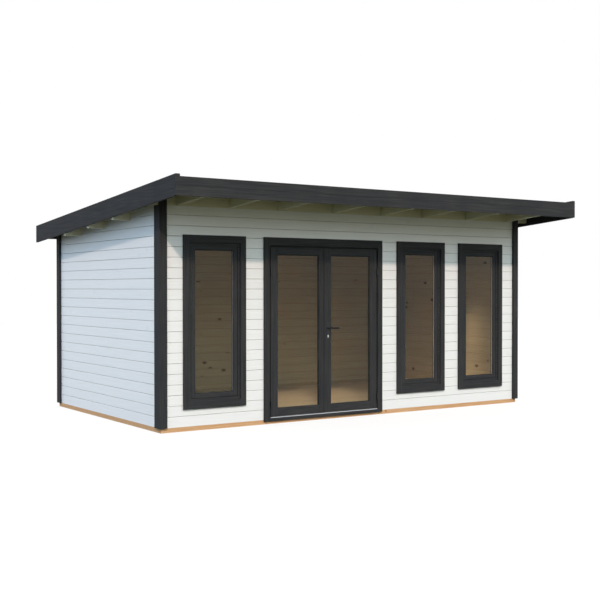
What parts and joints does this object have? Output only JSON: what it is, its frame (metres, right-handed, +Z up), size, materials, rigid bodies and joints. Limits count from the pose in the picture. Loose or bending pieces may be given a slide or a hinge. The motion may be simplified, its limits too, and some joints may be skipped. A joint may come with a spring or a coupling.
{
  "type": "garden office pod",
  "caption": "Log-built garden office pod with a flat roof falling to the back, a front canopy, tall fixed windows and a glazed double door.",
  "frame": {"origin": "on the ground under the middle of the roof", "axes": "+X to the right along the front, +Y to the back, +Z up"},
  "size_m": [5.751, 4.018, 2.66],
  "materials": {
    "wall_white": "satin paint on planed spruce logs",
    "trim_anthracite": "satin anthracite paint on planed boards",
    "beam_cream": "primed planed timber",
    "deck_pine": "planed softwood boards",
    "base_timber": "pressure treated sawn timber",
    "floor_pine": "planed pine boards",
    "skirting_pine": "planed pine strip",
    "roof_felt": "matt mineral felt",
    "glass": "clear sealed double glazing",
    "dark_metal": "satin dark coating",
    "bright_metal": "satin stainless steel",
    "sill_metal": "natural anodised aluminium"
  },
  "bodies": {
    "root": {"back_left_post": "trim_anthracite", "back_right_post": "trim_anthracite", "back_wall": "wall_white", "canopy_rafters": "beam_cream", "door_frame": "trim_anthracite", "door_threshold": "trim_anthracite", "floor_boards": "floor_pine", "foundation_frame": "base_timber", "frame_hinges": "dark_metal", "front_blocks": "beam_cream", "front_edge_beam": "beam_cream", "front_fascia": "trim_anthracite", "front_left_post": "trim_anthracite", "front_right_post": "trim_anthracite", "front_wall_left": "wall_white", "front_wall_over_door": "wall_white", "front_wall_right": "wall_white", "left_fascia": "trim_anthracite", "left_wall": "wall_white", "purlins": "beam_cream", "rear_beam": "beam_cream", "rear_fascia": "trim_anthracite", "right_fascia": "trim_anthracite", "right_wall": "wall_white", "roof_boards": "deck_pine", "roof_felt": "roof_felt", "roof_kerbs": "trim_anthracite", "skirting": "skirting_pine", "threshold_strip": "sill_metal", "window_1_frame": "trim_anthracite", "window_1_glass": "glass", "window_1_sash": "trim_anthracite", "window_2_frame": "trim_anthracite", "window_2_glass": "glass", "window_2_sash": "trim_anthracite", "window_3_frame": "trim_anthracite", "window_3_glass": "glass", "window_3_sash": "trim_anthracite", "window_spacers": "sill_metal"},
    "left_door": {"left_door_leaf": "trim_anthracite", "left_door_glass": "glass", "left_door_spacer": "sill_metal", "left_door_hinges": "dark_metal"},
    "right_door": {"right_door_leaf": "trim_anthracite", "right_door_glass": "glass", "right_door_spacer": "sill_metal", "right_door_hinges": "dark_metal", "handle_plates": "dark_metal", "lock_cylinder": "bright_metal"},
    "lever": {"lever_handle": "dark_metal"}
  },
  "joints": [
    {"name": "left_door_swing", "type": "hinge", "parent": "root", "child": "left_door", "pos_m": [-1.275, -1.224, 1], "axis": [0, 0, -1], "range_deg": [0, 100]},
    {"name": "right_door_swing", "type": "hinge", "parent": "root", "child": "right_door", "pos_m": [0.251, -1.224, 1], "axis": [0, 0, 1], "range_deg": [0, 100]},
    {"name": "lever_turn", "type": "hinge", "parent": "right_door", "child": "lever", "pos_m": [-0.478, -1.206, 1.071], "axis": [0, 1, 0], "range_deg": [0, 40], "stiffness_Nm_per_rad": 1.2, "springref_deg": -28.65}
  ]
}
